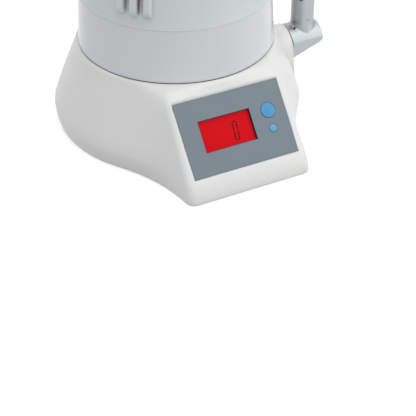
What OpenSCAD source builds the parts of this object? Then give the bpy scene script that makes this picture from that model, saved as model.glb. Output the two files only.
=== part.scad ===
// Countertop drinking water filter: a round base with a sloping display tongue,
// a lift-off canister over a carbon cartridge, and a swivelling spout on the right.
// Millimetres, +Z up, origin on the canister's axis at the counter,
// front and display towards -Y, spout towards +X.

/* [Base] */
// Greatest radius of the round part of the base
base_r = 74.6; // [72:0.1:80]
// Height of the base's top face above the counter
base_h = 51.5; // [49:0.5:58]
// Height at which the round part is widest
belly_z = 12; // [9:0.5:15]
// How far the round part tucks in below its widest height
belly_tuck = 2.2; // [0.5:0.1:2.5]
// Distance from the axis to the front of the tongue
tongue_front = 96.8; // [93:0.1:104]
// Width of the tongue at the counter
tongue_w = 77.5; // [72:0.5:82]
// Width of the tongue at its top corners
tongue_top_w = 71.6; // [70:0.2:78]
// Radius of the tongue's upright corners
tongue_corner_r = 5; // [4:0.5:8]
// Radius of the hollow blends between the round part and the tongue
waist_r = 100; // [70:5:140]
// Height at which the display face would meet the tongue's upright front
nose_h = 6.5; // [5:0.25:8]
// Blend between the tongue's upright front and the display face
nose_round = 6; // [3:0.5:9]
// Height of the soft shoulder below the top face, and thickness of the top deck
shoulder_h = 4; // [3.5:0.5:6]
// Rounding of the bottom edge
edge_r = 0.8; // [0.6:0.1:2]
// Wall thickness of the moulded base
wall = 2.6; // [2:0.1:3.2]
// Horizontal thickness of the wall behind the display face
face_wall = 4; // [3.5:0.25:5]

/* [Bottom] */
// Height of the base's lower edge above the counter
base_z = 0.4; // [0.3:0.1:1.2]
// Thickness of the rubber feet
foot_h = 1.6; // [1.5:0.1:2.5]
// Middle radius of the ring foot
foot_ring_r = 57; // [56:0.5:60]
// Width of the ring foot
foot_ring_w = 7; // [5:0.5:7.5]
// Radius of the two front feet
front_foot_r = 7; // [5:0.5:8]
// Thickness of the bottom plate
plate_t = 2.4; // [2:0.1:3]
// Thickness of the base's lower edge beside the bottom plate
rim_t = 1.4; // [1:0.1:2]
// Distance of the screw posts from the axis
post_pcd_r = 45; // [43:0.5:47]
// Radius of the screw posts
post_r = 3.6; // [3:0.1:4.5]

/* [Collar] */
// How far the collar's outer face stands beyond the round part's greatest radius
collar_proud = -0.9; // [-1.2:0.1:2]
// How far the collar's foot spreads beyond its arched top, each side
collar_flare = 2.6; // [1:0.1:4]
// Width of the collar's face that shows round the spout block
collar_lip = 0.7; // [0.4:0.1:2]
// Height of the arch's centre, which the spout block shares
arch_z = 26.2; // [25.5:0.1:27]

/* [Canister] */
// Radius of the canister at its lower edge
skirt_r = 57.9; // [57:0.1:60]
// Radius at the parting line between skirt and dome
parting_r = 56.1; // [55:0.1:57]
// Height of the parting line
parting_z = 83; // [80:0.5:90]
// Height of the whole canister top above the counter
canister_top = 310; // [290:1:330]
// Radius that the dome settles to
dome_r = 44.8; // [43:0.1:47]
// Height over which the dome's flare fades out
dome_flare_h = 60; // [40:1:80]
// Radius of the dome's top corner
dome_corner_r = 8; // [5:0.5:12]
// Crown of the dome's top
dome_crown = 1.2; // [0.5:0.1:2.5]
// Wall thickness of the dome
dome_wall = 3.4; // [2.8:0.1:4]
// Wall thickness of the skirt
skirt_wall = 2.4; // [2:0.1:3]
// Shadow gap between the skirt and the base
seam_gap = 0.5; // [0.4:0.05:1]
// Step outwards from the skirt to the base's top edge
seam_step = 0.8; // [0.4:0.1:1.5]

/* [Grip ribs] */
// Number of rib groups round the canister
rib_groups = 4; // [2:1:6]
// Ribs in one group
ribs_per_group = 3; // [2:1:4]
// Turn of the first group from the front, in degrees
rib_turn = 41; // [0:1:90]
// Spacing of the ribs
rib_pitch = 7.1; // [6:0.1:9]
// Width of a rib
rib_w = 4.7; // [3:0.1:5.5]
// Height of a rib above the dome
rib_h = 3.6; // [1:0.1:4.2]
// Height of the ribs' lower ends
rib_z = 89; // [88:1:100]
// Length of the ribs
rib_len = 86; // [60:1:110]

/* [Filter head and cartridge] */
// Thickness of the head's flange
flange_t = 3; // [2.5:0.1:4]
// Height of the spigot above the flange
spigot_h = 17.5; // [16:0.5:20]
// Wall thickness of the spigot
spigot_wall = 6.4; // [5.5:0.1:7]
// Step inwards from the parting line to the canister's neck
neck_inset = 4; // [3.5:0.1:5]
// Wall thickness of the canister's neck
neck_wall = 4.2; // [3:0.1:4.5]
// Height of a thread ridge
ridge_h = 1.2; // [0.8:0.1:1.4]
// Spacing of the thread ridges
ridge_pitch = 5; // [4:0.5:5.5]
// Gap between the cartridge and the spigot's cup
cartridge_gap = 0.8; // [0.5:0.1:2]
// Space between the cartridge and the dome's roof
cartridge_room = 20; // [10:0.5:40]
// Thickness of the cartridge's outer sleeve
sleeve_t = 0.9; // [0.6:0.1:1.2]
// Radius of the hole through the carbon block
core_bore_r = 10; // [7:0.5:14]
// Thickness of the cartridge's end caps
cap_t = 7; // [5:0.5:9]
// How far the end caps reach over the sleeve
cap_reach = 1.2; // [0.8:0.1:1.6]
// Radius of the cartridge's outlet nipple
nipple_r = 9.2; // [8:0.1:10]
// Length of the nipple below the lower cap
nipple_len = 18; // [15:0.5:20]
// Wall thickness of the boss that takes the nipple
boss_wall = 4.7; // [4:0.1:6]
// Height of the manifold's underside
manifold_z = 13; // [11:0.5:14]

/* [Display] */
// Width of the fascia
panel_w = 65; // [63:0.5:66.5]
// Length of the fascia along the slope
panel_h = 43; // [40:0.5:44]
// Thickness of the fascia
panel_t = 1.2; // [1:0.1:1.5]
// How far the fascia stands proud of the face
panel_proud = 0.2; // [0.1:0.05:0.4]
// Distance down the slope from the base's top to the fascia's middle
panel_down = 29.1; // [28:0.1:30]
// Width of the display window
window_w = 32; // [26:0.5:33]
// Height of the display window
window_h = 18; // [14:0.5:18.5]
// Sideways place of the window from the fascia's middle
window_u = -5.3; // [-6:0.1:-4]
// Place of the window up the slope from the fascia's middle
window_v = 0.2; // [-1:0.1:1.5]
// Depth of the display below the face
window_depth = 2.2; // [1.8:0.1:2.6]
// Border of the display hidden behind the fascia
display_border = 2; // [1.5:0.1:2.2]
// Thickness of the display
display_t = 2.8; // [2:0.1:3.2]
// Depth of the circuit board's front below the face
board_depth = 10; // [9:0.1:10.5]
// Thickness of the circuit board
board_t = 1.6; // [1.2:0.1:2]

/* [Buttons] */
// Diameter of the display button
big_button_d = 8.6; // [8:0.1:9.8]
// Diameter of the reset button
small_button_d = 4.5; // [4.2:0.1:6]
// Sideways place of both buttons from the fascia's middle
button_u = 21.6; // [21.4:0.1:23.5]
// Place of the display button up the slope
big_button_v = 5.2; // [5:0.1:8]
// Place of the reset button up the slope
small_button_v = -5.2; // [-6:0.1:-4.8]
// How far the buttons stand proud of the fascia
button_proud = 0.7; // [0.4:0.1:1.2]
// Travel of the buttons
button_travel = 0.8; // [0.5:0.1:1]

/* [Battery] */
// Sideways place of the battery
battery_x = -40; // [-41:0.5:-38]
// Radius of the coin cell
cell_r = 10; // [8:0.1:10.5]
// Thickness of the coin cell
cell_t = 3.2; // [2.5:0.1:3.6]
// How far the battery cap reaches beyond the cell
cap_margin = 2; // [1.5:0.1:2.2]
// Reach of the cap's lugs beyond its edge
lug_reach = 2; // [1.5:0.1:2.2]
// Turn from locked to open, in degrees
cap_turn = 60; // [45:1:75]

/* [Water path] */
// Height of the inlet line
inlet_z = 20; // [19:0.5:21]
// Radius of the bore that takes the supply tube
inlet_bore_r = 3.25; // [3:0.05:3.6]
// Depth of the tube seat
inlet_seat = 8; // [6:0.5:9]
// Radius of the water channels
channel_r = 2.2; // [1.8:0.1:2.4]
// Wall thickness of the hose barbs
barb_wall = 1.8; // [1.4:0.1:2]
// Wall thickness of the hoses
hose_wall = 2; // [1.5:0.1:2.2]
// Radius of the turbine's chamber
chamber_r = 6.7; // [6.2:0.1:7.2]
// Length of the turbine's chamber
chamber_len = 12; // [11:0.5:13]
// Number of turbine blades
blades = 5; // [3:1:7]
// Radius of the turbine's axle
axle_r = 1; // [0.8:0.05:1.2]

/* [Spout] */
// Distance of the swivel axis from the collar's face
swivel_offset = 12.9; // [12.4:0.1:13.4]
// Radius of the spout block's round top
block_r = 12.2; // [12:0.1:13]
// Distance of the block's flat sides from its middle
block_side = 11.1; // [10.5:0.1:11.8]
// Length of the spout block
block_len = 21.6; // [21.6:0.1:24]
// Depth of the block's underside below the arch's centre, at the collar
block_drop = 5.4; // [4.6:0.1:7]
// Rise of the block's underside towards its end, in degrees
block_rise = 20; // [6:0.5:20]
// Rounding of the underside's outer end
block_corner = 3; // [1:0.5:4]
// Thickness of the gasket between block and collar
gasket_t = 0.8; // [0.5:0.1:1.2]
// Wall thickness of the swivel socket
socket_wall = 1.7; // [1.4:0.1:2.2]
// How far the socket's root flares out on the block
socket_flare = 2.2; // [1:0.1:2.2]
// Height of the socket's top
socket_top = 60.5; // [57:0.5:62]
// Outer radius of the spout tube
tube_r = 5.5; // [5:0.1:5.8]
// Wall thickness of the spout tube
tube_wall = 1.2; // [1:0.1:1.4]
// Height at which the tube starts to bend
bend_z = 186.5; // [150:0.5:210]
// Radius of the bend
bend_r = 55.5; // [45:0.5:65]
// Angle that the tube turns through, in degrees
bend_angle = 158; // [140:1:170]
// Straight length after the bend
tail_len = 20; // [14:0.5:26]
// Length of the aerator
aerator_len = 40; // [34:0.5:45]
// How far the aerator's widest part stands out from the tube
aerator_side = 2.7; // [2.6:0.1:3.5]
// Taper of the aerator from its widest part to its mouth
aerator_taper = 1.2; // [0.6:0.1:1.4]

/* [Fits] */
// Gap between pieces that move past each other
move_gap = 0.3; // [0.2:0.05:0.4]
// Radial clearance of running shafts
run_gap = 0.05; // [0.03:0.01:0.08]
// Clearance between fixed pieces that slide together
seat_gap = 0.1; // [0.05:0.01:0.15]

/* [Hidden] */
$fn = 64;

// Overshoot that lets a cut pass cleanly through a face
cut = 1;

// Steps round one half of the base's outline: front, corner, hollow blend, round part
front_steps = 3;
corner_steps = 4;
waist_steps = 8;
round_steps = 18;
nose_steps = 5;
slope_steps = 5;
// Steps of a quarter round, and sides of the large turned shells
arc_steps = 6;
shell_sides = 128;

// Base: the display plane meets the top height just inside the round top edge
rim_r = skirt_r + seam_step;
face_top_inset = 1;
face_top_y = rim_r - face_top_inset;
shoulder_z = base_h - shoulder_h;
face_slope = atan((base_h - nose_h) / (tongue_front - face_top_y));
flare_line = 0.85;
plate_z = foot_h;
plate_top = plate_z + plate_t;
lip_h = 2;
foot_margin = 7;
post_angles = [32, 148, 212, 328];

// Collar on the right, as tall as the spout block that it carries
collar_x = base_r + collar_proud;
collar_r = block_r + collar_lip;
collar_foot_w = collar_r + collar_flare;
collar_root = rim_r - 12;
arch_tangent = 10;

// Fascia frame: u across, v up the slope, w out of the face
panel_z = base_h - panel_down * sin(face_slope);
panel_y = -face_y(panel_z);
display_w = window_w + 2 * display_border;
display_h = window_h + 2 * display_border;
display_corner_r = 0.6;
board_side = 1.5;
board_end = 2.5;
board_w = panel_w - 2 * board_side;
board_h = panel_h - 2 * board_end;
board_corner_r = 1;
board_post_inset = 3.4;
board_post_u = board_w / 2 - board_post_inset;
board_post_v = board_h / 2 - board_post_inset;
board_post_r = 2.6;
board_screw_r = 1;
board_screw_len = 6;
board_screw_head_h = 1.2;
face_wall_n = face_wall * sin(face_slope);
switch_size = 6;
switch_h = 2.6;
switch_dome_r = 1.6;
switch_dome_h = 0.4;
button_flange = 1;
button_flange_t = 0.9;
button_flange_gap = 0.2;
plunger_r = 1.5;
plunger_gap = 0.1;

// Screws
screw_r = 1.4;
screw_head_r = 2.7;
screw_head_h = 1.6;
screw_room = 2;
base_screw_len = 12;
head_screw_len = 10;
head_screws_n = 4;
head_screw_turn = 45;

// Battery stack, upwards from the bottom plate
cap_r = cell_r + cap_margin;
lug_h = 1.2;
lug_angle = 34;
lug_play = 4;
cap_rise = 0.8;
cell_z = plate_top + lug_h + cap_rise;
holder_roof = 1.5;
contact_t = 0.5;
contact_r = 4;
contact_split = 0.4;
holder_r = cap_r + lug_reach + move_gap;
cup_wall = 1.6;
holder_top = cell_z + cell_t + contact_t + holder_roof;
tab_h = 2;
wire_r = 0.9;
wire_sides = 8;
tab_spread = 4;

// Canister neck, filter head and cartridge, inwards from the parting line
neck_r = parting_r - neck_inset;
neck_bore_r = neck_r - neck_wall;
spigot_r = neck_bore_r - 2 * ridge_h - move_gap - seat_gap;
cup_r = spigot_r - spigot_wall;
end_cap_r = cup_r - cartridge_gap;
sleeve_r = end_cap_r - cap_reach;
core_r = sleeve_r - sleeve_t - seat_gap;
head_screw_pcd_r = (cup_r + spigot_r) / 2;
boss_r = nipple_r + seat_gap + boss_wall;
boss_h = 5.5;
riser_y = boss_r + channel_r;
manifold_wall = 1.6;
manifold_r = riser_y + channel_r + manifold_wall;
nipple_bore_r = 4;
nipple_room = 1;
seal_groove = 1.8;
seal_places = [0.35, 0.7];
cap_chamfer = 2;

// Heights of the filter head, canister and cartridge
flange_top = base_h + flange_t;
spigot_top = flange_top + spigot_h;
boss_top = flange_top + boss_h;
core_z = boss_top + cap_t;
core_len = canister_top - dome_wall - cartridge_room - cap_t - core_z;
ridges = 3;
first_ridge = 3;
seal_t = 2;
neck_z = flange_top + seal_t + 2 * seat_gap;
neck_reach = 4;
neck_top_z = spigot_top + neck_reach;
neck_blend = 8;
dome_start_z = parting_z + seat_gap;
dome_edge_h = 2;
dome_edge_in = 0.9;
dome_overhang = 0.2;
dome_flare = parting_r - dome_edge_in - dome_r;
dome_steps = 12;
skirt_z = base_h + seam_gap;
skirt_lip_h = 3.2;
skirt_bow = 0.4;
skirt_steps = 6;
rib_fade = 3;
rib_steps = 8;

// Inlet line, from the back of the base towards the filter head
barb_r = channel_r + barb_wall;
back_y = body_r(inlet_z);
mouth_proud = 1.4;
mouth_y = back_y + mouth_proud;
collet_wall = 2.35;
collet_r = inlet_bore_r + collet_wall;
collet_rim = 0.6;
collet_foot = 1.6;
collet_len = 4.6;
collet_proud = 0.8;
collet_room = 7;
fitting_wall = 1.8;
fitting_r = collet_r + fitting_wall;
fitting_flange = 2.4;
fitting_flange_t = 2;
fitting_flange_y = back_y - wall - 5;
inlet_seal_t = 2;
chamber_end_y = back_y - collet_room;
seat_end_y = chamber_end_y - inlet_seat;
seat_wall = 1.5;
spigot_len = 3;
spigot_step = 1;
meter_wall = 2;
meter_side = 2.3;
meter_r = chamber_r + meter_side;
meter_back_y = seat_end_y - seat_wall;
meter_front_y = meter_back_y - spigot_len - meter_wall - chamber_len - meter_wall;
hole_ring_r = 3.6;
hole_r = 1.3;
cap_flange_t = 3;
cap_face_t = 1.2;
cap_hollow_r = 5;
cap_web = 0.4;
inlet_barb_space = 1;
inlet_barb_len = (meter_front_y - cap_flange_t - manifold_r - inlet_barb_space) / 2;
blade_gap = 0.4;
turbine_r = chamber_r - blade_gap;
hub_r = 2.3;
axle_seat = 1.4;
sensor_pad = 8;
sensor_pad_h = 1;
sensor_w = 6;
sensor_t = 2.4;
sensor_set = 2;
sensor_z = inlet_z + meter_r + sensor_pad_h;

// Outlet line and spout
outlet_rise = 3;
outlet_z = arch_z + outlet_rise;
barb_len = 8;
hose_set = 1;
block_x = collar_x + gasket_t;
block_low_z = arch_z - block_drop;
swivel_x = collar_x + swivel_offset;
shank_step = 0.6;
shank_r = barb_r + shank_step;
nut_side = 2.4;
nut_r = shank_r + nut_side;
nut_t = 4.5;
shank_past_nut = 2;
shank_end_x = collar_x - wall - nut_t - shank_past_nut;
shank_barb_x = shank_end_x - barb_len;
socket_r = tube_r + socket_wall;
socket_bore_r = tube_r + run_gap;
socket_floor_t = 2.4;
socket_floor = outlet_z + channel_r + socket_floor_t;
socket_edge = 0.6;
flare_rise = 1.3;
bead_r = 1.3;
bead_h = 0.6;
bead_drop = 16.6;
ferrule_gap = 0.4;
ferrule_z = socket_floor + ferrule_gap;
ferrule_bore_r = 2.8;
ferrule_spigot = 9;
ferrule_shoulder = 1;
ferrule_top = socket_top + ferrule_shoulder;
groove_drop = 3;
groove_z = socket_top - groove_drop;
groove_w = 3;
groove_depth = 0.7;
groove_r = tube_r - groove_depth;
socket_screw_r = 1.3;
socket_screw_turn = -134;
socket_screw_sunk = 0.4;
vent_inset = 4.5;
vent_turn = 18;
vent_r = 0.8;
vent_depth = 2.5;
o_ring_r = 0.65;
o_ring_rows = [6, 12];
o_ring_room = 0.025;
bend_x = swivel_x + bend_r;
tail_turn = 180 - bend_angle;
aerator_r = tube_r + aerator_side;
aerator_mouth_r = aerator_r - aerator_taper;
aerator_wall = 2.4;
aerator_lip_t = 2;
nut_len = 6;
clamp_w = 4;
clamp_t = 0.7;
clamp_set = 2;

// Routes of the leads inside the base: from the battery's two tabs and from the flow sensor
front_lead_route = [
    [-40, -2, 15], [-39, -5, 17], [-36, -13, 17], [-30, -24, 17], [-25, -38, 16], [-22, -54, 13]
];
back_lead_route = [
    [-40, 2, 17], [-38, -1, 20], [-33, -12, 20], [-27, -24, 20], [-21, -38, 19], [-18, -54, 14]
];
sensor_lead_route = [
    [0, 43, 34], [-2, 42, 36], [-12, 37, 36], [-22, 25, 36], [-27, 11, 36],
    [-28, 0, 36], [-26, -14, 36], [-21, -30, 34], [-16, -44, 27]
];
front_lead_u = -22;
back_lead_u = -18;
lead_v = -6;
sensor_lead_u = -14;
sensor_lead_v = 4;

// Colours
white_plastic = "#e9eae9";
grey_plastic = "#c3c7ca";
inner_plastic = "#d9dcd8";
dark_plastic = "#3a3d40";
chrome = "#b3b9bc";
steel = "#9aa0a4";
rubber = "#26282a";
brass = "#c9a557";
clear_hose = "#cfd8dc";

function mix(a, b, t) = a + (b - a) * t;

// Distance in front of the axis of the sloping display face at height z
function face_y(z) = face_top_y + (base_h - z) / tan(face_slope);

// Smaller of two lengths, with a soft change from one to the other
function soft_min(a, b, k) =
    let (h = max(k - abs(a - b), 0) / k) min(a, b) - h * h * k / 4;

// Radius of the round part at height z
function body_r(z) =
    let (u = (z - belly_z) / (base_h - belly_z))
    z < belly_z
        ? base_r - belly_tuck * pow((belly_z - z) / belly_z, 2)
        : base_r - (base_r - rim_r) * (flare_line * u + (1 - flare_line) * u * u);

// How far the rounded bottom edge draws the outline in at height z
function edge_inset(z) =
    let (h = base_z + edge_r - z)
    h <= 0 ? 0 : edge_r - sqrt(max(edge_r * edge_r - h * h, 0));

// Point at an angle from the front and a distance from the axis
function from_front(a, r) = [r * sin(a), -r * cos(a)];

// Angle opposite side c of a triangle with sides a, b and c
function corner_angle(a, b, c) = acos((a * a + b * b - c * c) / (2 * a * b));

// Outline of the base: tongue front, corners, hollow blends and round part, as tangent arcs
function outline(r, front, half_w, corner) =
    let (
        corner_c = [half_w - corner, corner - front],
        turn = corner_angle(norm(corner_c), r + waist_r, corner + waist_r),
        round_a = atan2(corner_c.x, -corner_c.y) + turn,
        waist_c = from_front(round_a, r + waist_r),
        corner_a = atan2(waist_c.x - corner_c.x, corner_c.y - waist_c.y),
        half = concat(
            [for (i = [0:front_steps - 1]) [corner_c.x * i / front_steps, -front]],
            [for (i = [0:corner_steps]) corner_c + from_front(corner_a * i / corner_steps, corner)],
            [for (i = [1:waist_steps])
                waist_c + from_front(180 + mix(corner_a, round_a, i / waist_steps), waist_r)],
            [for (i = [1:round_steps]) from_front(mix(round_a, 180, i / round_steps), r)]
        )
    )
    concat(half, [for (i = [len(half) - 2:-1:1]) [-half[i].x, half[i].y]]);

// Outline of the base at height z, drawn in by a side wall and a front wall
function base_outline(z, side, front) =
    let (e = edge_inset(z))
    outline(
        body_r(z) - e - side,
        soft_min(tongue_front, face_y(z), nose_round) - e - front,
        mix(tongue_w, tongue_top_w, z / base_h) / 2 - e - side,
        max(tongue_corner_r - side, 1)
    );

function at_height(points, z) = [for (p = points) [p.x, p.y, z]];
function outer_ring(z) = at_height(base_outline(z, 0, 0), z);

// Outline part of the way over the shoulder to the round top edge
function shoulder_ring(t) =
    let (z = shoulder_z + shoulder_h * sin(90 * t))
    [for (p = base_outline(shoulder_z, 0, 0))
        let (q = mix(p, rim_r * p / norm(p), t)) [q.x, q.y, z]];

nose_top = nose_h + nose_round;
outer_rings = concat(
    [for (t = [0, 0.3, 1]) outer_ring(base_z + edge_r * t)],
    [for (i = [1:nose_steps]) outer_ring(mix(base_z + edge_r, nose_top, i / nose_steps))],
    [for (i = [1:slope_steps]) outer_ring(mix(nose_top, shoulder_z, i / slope_steps))],
    [for (t = [0.35, 0.7, 1]) shoulder_ring(t)]
);

inner_rings = concat(
    [for (z = [base_z - cut, plate_top]) at_height(base_outline(base_z, rim_t, rim_t), z)],
    [for (i = [0:slope_steps])
        let (z = mix(plate_top + lip_h, shoulder_z, i / slope_steps))
        at_height(base_outline(z, wall, face_wall), z)]
);

// Closed solid through rings of points that run anticlockwise seen from above
function middle(ring) = [for (p = ring) 1] * ring / len(ring);
module loft(rings) {
    n = len(rings[0]);
    m = len(rings);
    foot = m * n;
    head = foot + 1;
    polyhedron(
        points = [for (ring = rings) each ring, middle(rings[0]), middle(rings[m - 1])],
        faces = concat(
            [for (j = [0:n - 1]) [foot, j, (j + 1) % n]],
            [for (j = [0:n - 1]) [head, foot - n + (j + 1) % n, foot - n + j]],
            [for (i = [0:m - 2], j = [0:n - 1])
                let (a = i * n + j, b = i * n + (j + 1) % n)
                each [[a, a + n, b + n], [a, b + n, b]]]
        )
    );
}

// Directions and rings of a round lead along its route
function unit(v) = v / norm(v);
function path_dir(p, i) =
    i == 0 ? unit(p[1] - p[0])
    : i == len(p) - 1 ? unit(p[i] - p[i - 1])
    : unit(unit(p[i + 1] - p[i]) + unit(p[i] - p[i - 1]));
function lead_ring(p, i) =
    let (
        d = path_dir(p, i),
        side = unit(cross(d, abs(d.z) > 0.9 ? [1, 0, 0] : [0, 0, 1])),
        up = cross(side, d)
    )
    [for (j = [wire_sides - 1:-1:0])
        let (a = 360 * j / wire_sides) p[i] + wire_r * (cos(a) * side + sin(a) * up)];

module lead(route) {
    loft([for (i = [0:len(route) - 1]) lead_ring(route, i)]);
}

// Point behind the circuit board, given across and up the fascia
function board_back(u, v, out) =
    let (w = -board_depth - board_t - out, c = cos(face_slope), s = sin(face_slope))
    [u, panel_y + v * c - w * s, panel_z + v * s + w * c];

// End of a lead's route, which comes square to the back of the board
function into_board(u, v) = [for (out = [6, 3, 0]) board_back(u, v, out)];

// Places things in the fascia's frame
module on_face() {
    translate([0, panel_y, panel_z])
        rotate([face_slope, 0, 0]) children();
}

// Cylinder whose axis runs towards +Y from y0 to y1
module rod_y(y0, y1, r, z) {
    translate([0, y0, z])
        rotate([-90, 0, 0]) cylinder(h = y1 - y0, r = r);
}

// Cylinder whose axis runs towards +X from x0 to x1
module rod_x(x0, x1, r, z) {
    translate([x0, 0, z])
        rotate([0, 90, 0]) cylinder(h = x1 - x0, r = r);
}

module rounded_plate(w, h, t, r) {
    linear_extrude(t) {
        square([w - 2 * r, h], center = true);
        square([w, h - 2 * r], center = true);
        for (x = [-1, 1], y = [-1, 1])
            translate([x * (w / 2 - r), y * (h / 2 - r)]) circle(r);
    }
}

module tube(r_out, r_in, h) {
    difference() {
        cylinder(h = h, r = r_out);
        translate([0, 0, -cut]) cylinder(h = h + 2 * cut, r = r_in);
    }
}

module ring(r, section_r) {
    rotate_extrude() translate([r, 0]) circle(section_r);
}

// Screw that points up, with its head's underside at the origin
module screw(len, r = screw_r, head_r = screw_head_r, head_h = screw_head_h) {
    drive_r = head_r * 0.5;
    drive_depth = head_h * 0.6;
    cylinder(h = len, r = r);
    translate([0, 0, -head_h]) difference() {
        cylinder(h = head_h, r = head_r);
        translate([0, 0, -cut]) cylinder(h = drive_depth + cut, r = drive_r, $fn = 6);
    }
}

module at_posts() {
    for (a = post_angles)
        rotate([0, 0, a]) translate([post_pcd_r, 0, 0]) children();
}

module at_head_screws() {
    for (i = [0:head_screws_n - 1])
        rotate([0, 0, head_screw_turn + 360 * i / head_screws_n])
            translate([head_screw_pcd_r, 0, 0]) children();
}

module at_board_posts() {
    for (x = [-1, 1], y = [-1, 1])
        translate([x * board_post_u, y * board_post_v, 0]) children();
}

module at_battery() {
    translate([battery_x, 0, 0]) children();
}

// Holes for both buttons, in the fascia's frame
module button_holes(w, h) {
    translate([button_u, big_button_v, w]) cylinder(h = h, r = big_button_d / 2 + move_gap);
    translate([button_u, small_button_v, w]) cylinder(h = h, r = small_button_d / 2 + move_gap);
}

// Arched profile of the collar, drawn with its foot on the counter
module arch(r, foot_w) {
    tangent = [r * cos(arch_tangent), arch_z + r * sin(arch_tangent)];
    translate([0, arch_z]) circle(r);
    polygon([
        [-foot_w, 0], [-foot_w, belly_z], [-tangent.x, tangent.y],
        tangent, [foot_w, belly_z], [foot_w, 0]
    ]);
}

module arch_bar(x0, x1, r, foot_w, z0) {
    translate([x0, 0, 0]) rotate([90, 0, 90]) linear_extrude(x1 - x0)
        intersection() {
            arch(r, foot_w);
            translate([-foot_w, z0]) square([2 * foot_w, base_h]);
        }
}

// Outside of the base with its collar, hollowed from below
module hollow_base() {
    inner_x = collar_x - wall;
    difference() {
        union() {
            loft(outer_rings);
            arch_bar(collar_root, collar_x, collar_r, collar_foot_w, base_z);
        }
        loft(inner_rings);
        arch_bar(collar_root - cut, inner_x, collar_r - wall, collar_foot_w - wall, plate_top + lip_h);
    }
}

module base_shell() color(white_plastic) {
    difference() {
        union() {
            hollow_base();
            at_posts() translate([0, 0, plate_top]) cylinder(h = shoulder_z + cut - plate_top, r = post_r);
            on_face() at_board_posts()
                translate([0, 0, -board_depth]) cylinder(h = board_depth - panel_t, r = board_post_r);
        }
        // Manifold opening and the screws that come up through the deck
        translate([0, 0, shoulder_z - cut]) cylinder(h = shoulder_h + 2 * cut, r = manifold_r + seat_gap);
        at_head_screws() translate([0, 0, shoulder_z - cut])
            cylinder(h = shoulder_h + 2 * cut, r = screw_r + seat_gap);
        at_posts() translate([0, 0, plate_top - cut])
            cylinder(h = base_screw_len + screw_room + cut, r = screw_r + seat_gap / 2);
        // Recess and openings of the display face
        on_face() {
            translate([0, 0, panel_proud - panel_t]) linear_extrude(panel_t + cut)
                square([panel_w + 2 * seat_gap, panel_h + 2 * seat_gap], center = true);
            translate([window_u, window_v, -board_depth]) linear_extrude(board_depth)
                square([display_w + 2 * move_gap, display_h + 2 * move_gap], center = true);
            button_holes(-board_depth, board_depth);
            at_board_posts() translate([0, 0, -board_depth - cut])
                cylinder(h = board_screw_len + cut, r = board_screw_r + seat_gap / 2);
        }
        // Inlet at the back and the spout's shank on the right
        rod_y(back_y - 4 * wall, back_y + 2 * wall, fitting_r + seat_gap, inlet_z);
        rod_x(collar_x - 2 * wall, collar_x + cut, shank_r + seat_gap, outlet_z);
    }
}

module base_plate() color(white_plastic) {
    difference() {
        union() {
            translate([0, 0, plate_z]) linear_extrude(plate_t)
                polygon(base_outline(base_z, rim_t + move_gap, rim_t + move_gap));
            at_battery() translate([0, 0, plate_z])
                cylinder(h = holder_top - plate_z, r = holder_r + seat_gap + cup_wall);
        }
        at_posts() translate([0, 0, plate_z - cut]) {
            cylinder(h = plate_t + 2 * cut, r = screw_r + seat_gap);
            cylinder(h = screw_head_h + cut, r = screw_head_r + seat_gap);
        }
        at_battery() {
            translate([0, 0, plate_z - cut]) cylinder(h = plate_t + 2 * cut, r = cap_r + move_gap);
            translate([0, 0, plate_top]) cylinder(h = holder_top, r = holder_r + seat_gap);
            rotate([0, 0, cap_turn]) translate([0, 0, plate_z - cut])
                lugs(plate_t + 2 * cut, cap_r + lug_reach + move_gap, lug_angle + lug_play);
        }
    }
}

// Two opposite sectors that reach from the axis to a radius
module lugs(h, r, angle) {
    for (a = [0, 180])
        rotate([0, 0, a - angle / 2]) rotate_extrude(angle = angle) square([r, h]);
}

module rubber_feet() color(rubber) {
    front_x = tongue_w / 2 - front_foot_r - foot_margin;
    front_y = tongue_front - front_foot_r - foot_margin;
    tube(foot_ring_r + foot_ring_w / 2, foot_ring_r - foot_ring_w / 2, foot_h);
    for (x = [-1, 1])
        translate([x * front_x, -front_y, 0]) cylinder(h = foot_h, r = front_foot_r);
}

module base_screws() color(steel) {
    at_posts() translate([0, 0, plate_z + screw_head_h]) screw(base_screw_len);
}

module fascia_panel() color("#7e8891") {
    on_face() translate([0, 0, panel_proud - panel_t]) difference() {
        linear_extrude(panel_t) square([panel_w, panel_h], center = true);
        translate([window_u, window_v, -cut]) linear_extrude(panel_t + 2 * cut)
            square([window_w, window_h], center = true);
        button_holes(-cut, panel_t + 2 * cut);
    }
}

module display_panel() color("#ca101c") {
    on_face() translate([window_u, window_v, -window_depth - display_t])
        rounded_plate(display_w, display_h, display_t, display_corner_r);
}

// Frame that stands on the circuit board and holds the display
module display_carrier() color("#f2f2ee") {
    carrier_h = board_depth - window_depth - display_t;
    carrier_wall = 2;
    inner_w = display_w - 2 * carrier_wall;
    inner_h = display_h - 2 * carrier_wall;
    on_face() translate([window_u, window_v, -board_depth]) difference() {
        rounded_plate(display_w, display_h, carrier_h, display_corner_r);
        translate([0, 0, -cut]) rounded_plate(inner_w, inner_h, carrier_h + 2 * cut, display_corner_r);
    }
}

module circuit_board() color("#2f6b3c") {
    on_face() translate([0, 0, -board_depth - board_t]) difference() {
        rounded_plate(board_w, board_h, board_t, board_corner_r);
        at_board_posts() translate([0, 0, -cut])
            cylinder(h = board_t + 2 * cut, r = board_screw_r + seat_gap);
    }
}

module board_screws() color(steel) {
    on_face() at_board_posts() translate([0, 0, -board_depth - board_t])
        screw(board_screw_len, board_screw_r, 2 * board_screw_r, board_screw_head_h);
}

module tact_switches() color(dark_plastic) {
    for (v = [big_button_v, small_button_v])
        on_face() translate([button_u, v, -board_depth]) {
            translate([-switch_size / 2, -switch_size / 2, 0]) cube([switch_size, switch_size, switch_h]);
            cylinder(h = switch_h + switch_dome_h, r = switch_dome_r);
        }
}

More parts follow.
